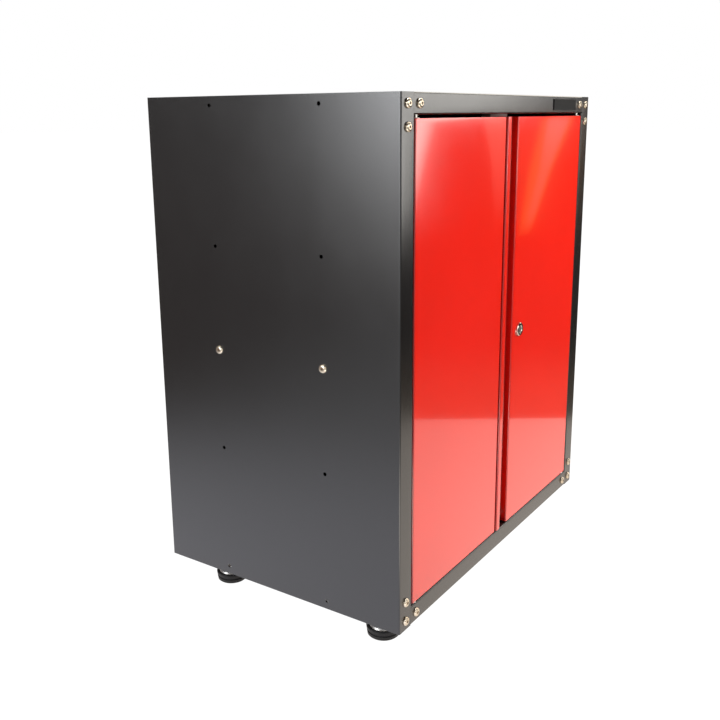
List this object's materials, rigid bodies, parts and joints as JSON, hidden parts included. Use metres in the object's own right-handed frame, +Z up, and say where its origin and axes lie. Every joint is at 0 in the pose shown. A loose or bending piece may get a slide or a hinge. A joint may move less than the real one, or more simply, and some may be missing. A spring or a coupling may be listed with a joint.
{
  "type": "workshop cabinet",
  "caption": "Free-standing two-door workshop cabinet of folded sheet steel with a shelf, cam lock, folded finger pull and levelling feet.",
  "frame": {"origin": "on the floor under the middle of the whole part's box", "axes": "+Z up, -Y is the front with the doors, +X to the right as seen from the front"},
  "size_m": [0.687, 0.4662, 0.82],
  "materials": {
    "body_black": "satin black powder coat",
    "door_red": "gloss red paint",
    "zinc_bolt": "bright zinc",
    "zinc_plate": "zinc plate",
    "bracket_steel": "satin black powder coat",
    "foot_rubber": "black rubber",
    "badge_black": "plain black plate",
    "catch_grey": "grey moulded plastic",
    "magnet_steel": "ground steel pole",
    "bush_white": "white nylon",
    "lock_chrome": "bright chrome"
  },
  "bodies": {
    "cabinet": {"left_side_panel": "body_black", "right_side_panel": "body_black", "top_panel": "body_black", "bottom_panel": "body_black", "back_panel": "body_black", "back_panel_screws": "zinc_plate", "shelf": "body_black", "shelf_bolts": "zinc_bolt", "shelf_nuts": "zinc_plate", "gusset_top_left": "bracket_steel", "gusset_top_right": "bracket_steel", "gusset_bottom_left": "bracket_steel", "gusset_bottom_right": "bracket_steel", "frame_bolts": "zinc_bolt", "frame_nuts": "zinc_plate", "badge_plate": "badge_black", "hinge_pins": "zinc_bolt", "catch_body": "catch_grey", "catch_magnets": "magnet_steel", "catch_screws": "zinc_plate", "lock_strike": "bracket_steel", "strike_rivets": "zinc_plate", "foot_bracket_front_left": "bracket_steel", "foot_bracket_front_right": "bracket_steel", "foot_bracket_rear_left": "bracket_steel", "foot_bracket_rear_right": "bracket_steel", "foot_weld_nuts": "zinc_plate"},
    "left_door": {"left_door_skin": "door_red", "left_door_inner_panel": "door_red", "left_door_bushes": "bush_white", "left_catch_plate": "zinc_plate"},
    "right_door": {"right_door_skin": "door_red", "right_door_inner_panel": "door_red", "right_door_bushes": "bush_white", "right_catch_plate": "zinc_plate", "lock_barrel": "lock_chrome", "lock_nut": "zinc_plate"},
    "lock_plug": {"lock_plug": "lock_chrome", "lock_cam": "zinc_plate", "lock_cam_screw": "zinc_plate"},
    "foot_front_left": {"foot_pad_front_left": "foot_rubber", "foot_stem_front_left": "zinc_plate", "foot_jam_nut_front_left": "zinc_plate"},
    "foot_front_right": {"foot_pad_front_right": "foot_rubber", "foot_stem_front_right": "zinc_plate", "foot_jam_nut_front_right": "zinc_plate"},
    "foot_rear_left": {"foot_pad_rear_left": "foot_rubber", "foot_stem_rear_left": "zinc_plate", "foot_jam_nut_rear_left": "zinc_plate"},
    "foot_rear_right": {"foot_pad_rear_right": "foot_rubber", "foot_stem_rear_right": "zinc_plate", "foot_jam_nut_rear_right": "zinc_plate"}
  },
  "joints": [
    {"name": "left_door_hinge", "type": "hinge", "parent": "cabinet", "child": "left_door", "pos_m": [-0.2935, -0.2231, 0.4345], "axis": [0, 0, -1], "range_deg": [0, 110]},
    {"name": "right_door_hinge", "type": "hinge", "parent": "cabinet", "child": "right_door", "pos_m": [0.2935, -0.2231, 0.4345], "axis": [0, 0, 1], "range_deg": [0, 110]},
    {"name": "lock_turn", "type": "hinge", "parent": "right_door", "child": "lock_plug", "pos_m": [0.053, -0.2211, 0.43], "axis": [0, 1, 0], "range_deg": [0, 90]},
    {"name": "foot_front_left_level", "type": "slide", "parent": "cabinet", "child": "foot_front_left", "axis": [0, 0, -1], "range_m": [0, 0.015]},
    {"name": "foot_front_right_level", "type": "slide", "parent": "cabinet", "child": "foot_front_right", "axis": [0, 0, -1], "range_m": [0, 0.015]},
    {"name": "foot_rear_left_level", "type": "slide", "parent": "cabinet", "child": "foot_rear_left", "axis": [0, 0, -1], "range_m": [0, 0.015]},
    {"name": "foot_rear_right_level", "type": "slide", "parent": "cabinet", "child": "foot_rear_right", "axis": [0, 0, -1], "range_m": [0, 0.015]}
  ]
}
